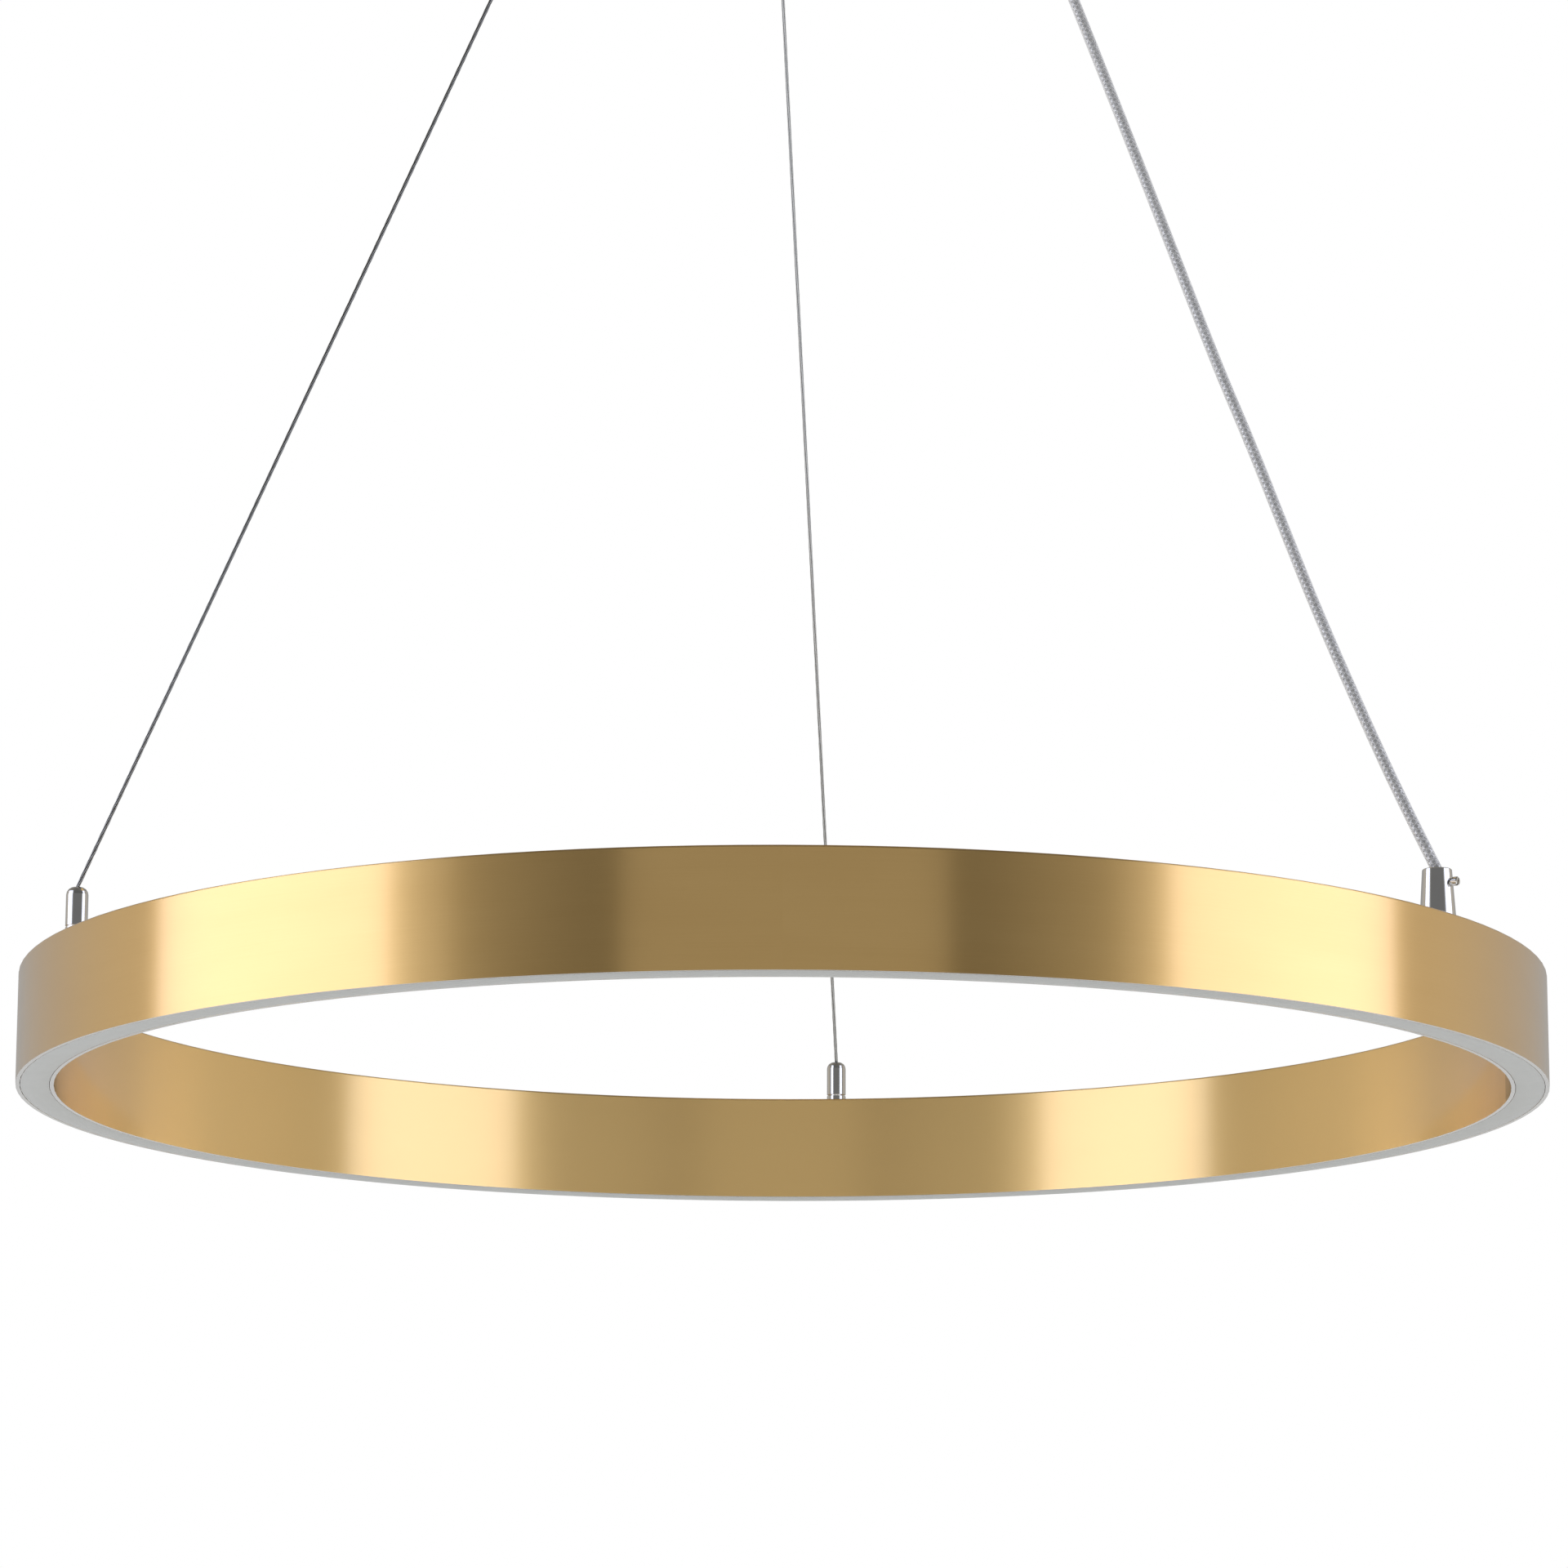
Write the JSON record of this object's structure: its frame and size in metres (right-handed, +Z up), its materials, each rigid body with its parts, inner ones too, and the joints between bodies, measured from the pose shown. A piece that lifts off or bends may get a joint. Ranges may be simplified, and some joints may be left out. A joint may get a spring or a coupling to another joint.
{
  "type": "led ring chandelier",
  "caption": "Slim gold ring pendant light: opal strip under a rolled channel, hung by thin steel cables and a clear power cord from a round ceiling canopy.",
  "frame": {"origin": "on the ceiling, at the centre of the mounting bracket's top face and of its two screw slots", "axes": "+Z up into the ceiling; -Y towards the viewer in the picture, +X to the viewer's right"},
  "size_m": [0.61, 0.61, 0.5977],
  "materials": {
    "brushed_gold": "brushed, gold anodised",
    "opal": "satin opal",
    "chrome": "polished",
    "steel_strand": "twisted strands",
    "clear_cord": "clear jacket over tinned braid",
    "zinc_steel": "zinc plated",
    "spring_steel": "bare",
    "mill_aluminium": "mill",
    "board_white": "solder mask",
    "led_phosphor": "phosphor lens",
    "driver_white": "moulded",
    "terminal_grey": "moulded",
    "lead_white": "smooth",
    "earth_green": "smooth",
    "wire_tinned": "insulated"
  },
  "bodies": {
    "ceiling_unit": {"cable_tails": "steel_strand", "canopy_cord_grip": "chrome", "canopy_cup": "brushed_gold", "canopy_grip_nut": "zinc_steel", "canopy_grip_screw": "chrome", "cord_tail": "clear_cord", "driver_case": "driver_white", "driver_screws": "zinc_steel", "earth_screw": "zinc_steel", "earth_wire": "earth_green", "gripper_nuts": "zinc_steel", "left_gripper_body": "chrome", "left_gripper_spring": "spring_steel", "mains_lead": "lead_white", "mounting_bracket": "zinc_steel", "rear_gripper_body": "chrome", "rear_gripper_spring": "spring_steel", "side_screws": "brushed_gold", "terminal_block": "terminal_grey"},
    "ring": {"ring_housing": "brushed_gold", "diffuser": "opal", "led_carrier": "mill_aluminium", "led_board": "board_white", "led_chips": "led_phosphor", "stud_nuts": "zinc_steel", "ring_cord_grip": "chrome", "ring_grip_screw": "chrome", "ring_grip_nut": "zinc_steel", "ring_cord_end": "clear_cord", "feed_wires": "wire_tinned", "rear_fitting_base": "chrome", "rear_fitting_cap": "chrome", "rear_cable_stop": "steel_strand", "left_fitting_base": "chrome", "left_fitting_cap": "chrome", "left_cable_stop": "steel_strand"},
    "rear_cable": {"rear_cable": "steel_strand"},
    "left_cable": {"left_cable": "steel_strand"},
    "power_cord": {"power_cord": "clear_cord"},
    "rear_plunger": {"rear_gripper_plunger": "chrome", "rear_gripper_balls": "spring_steel"},
    "left_plunger": {"left_gripper_plunger": "chrome", "left_gripper_balls": "spring_steel"}
  },
  "joints": [
    {"name": "ring_sway", "type": "hinge", "parent": "ceiling_unit", "child": "ring", "pos_m": [0, 0, 0.16353], "axis": [0, 1, 0], "range_deg": [-2, 2]},
    {"name": "rear_cable_lean", "type": "hinge", "parent": "ceiling_unit", "child": "rear_cable", "pos_m": [-0.00361, 0.08993, -0.0477], "axis": [0, 1, 0], "range_deg": [-2.9, 2.9]},
    {"name": "left_cable_lean", "type": "hinge", "parent": "ceiling_unit", "child": "left_cable", "pos_m": [-0.07607, -0.04809, -0.0477], "axis": [0, 1, 0], "range_deg": [-2.9, 2.9]},
    {"name": "power_cord_lean", "type": "hinge", "parent": "ceiling_unit", "child": "power_cord", "pos_m": [0.07969, -0.04184, -0.0477], "axis": [0, 1, 0], "range_deg": [-2.9, 2.9]},
    {"name": "rear_release", "type": "slide", "parent": "ceiling_unit", "child": "rear_plunger", "axis": [0, 0, 1], "range_m": [0, 0.0025], "stiffness_N_per_m": 300, "springref_m": -0.004, "deforming": ["rear_gripper_spring"]},
    {"name": "left_release", "type": "slide", "parent": "ceiling_unit", "child": "left_plunger", "axis": [0, 0, 1], "range_m": [0, 0.0025], "stiffness_N_per_m": 300, "springref_m": -0.004, "deforming": ["left_gripper_spring"]}
  ],
  "couplings": [
    {"joint": "rear_cable_lean", "follows": "ring_sway", "ratio": 1.4337},
    {"joint": "left_cable_lean", "follows": "ring_sway", "ratio": 1.4337},
    {"joint": "power_cord_lean", "follows": "ring_sway", "ratio": 1.4337}
  ]
}
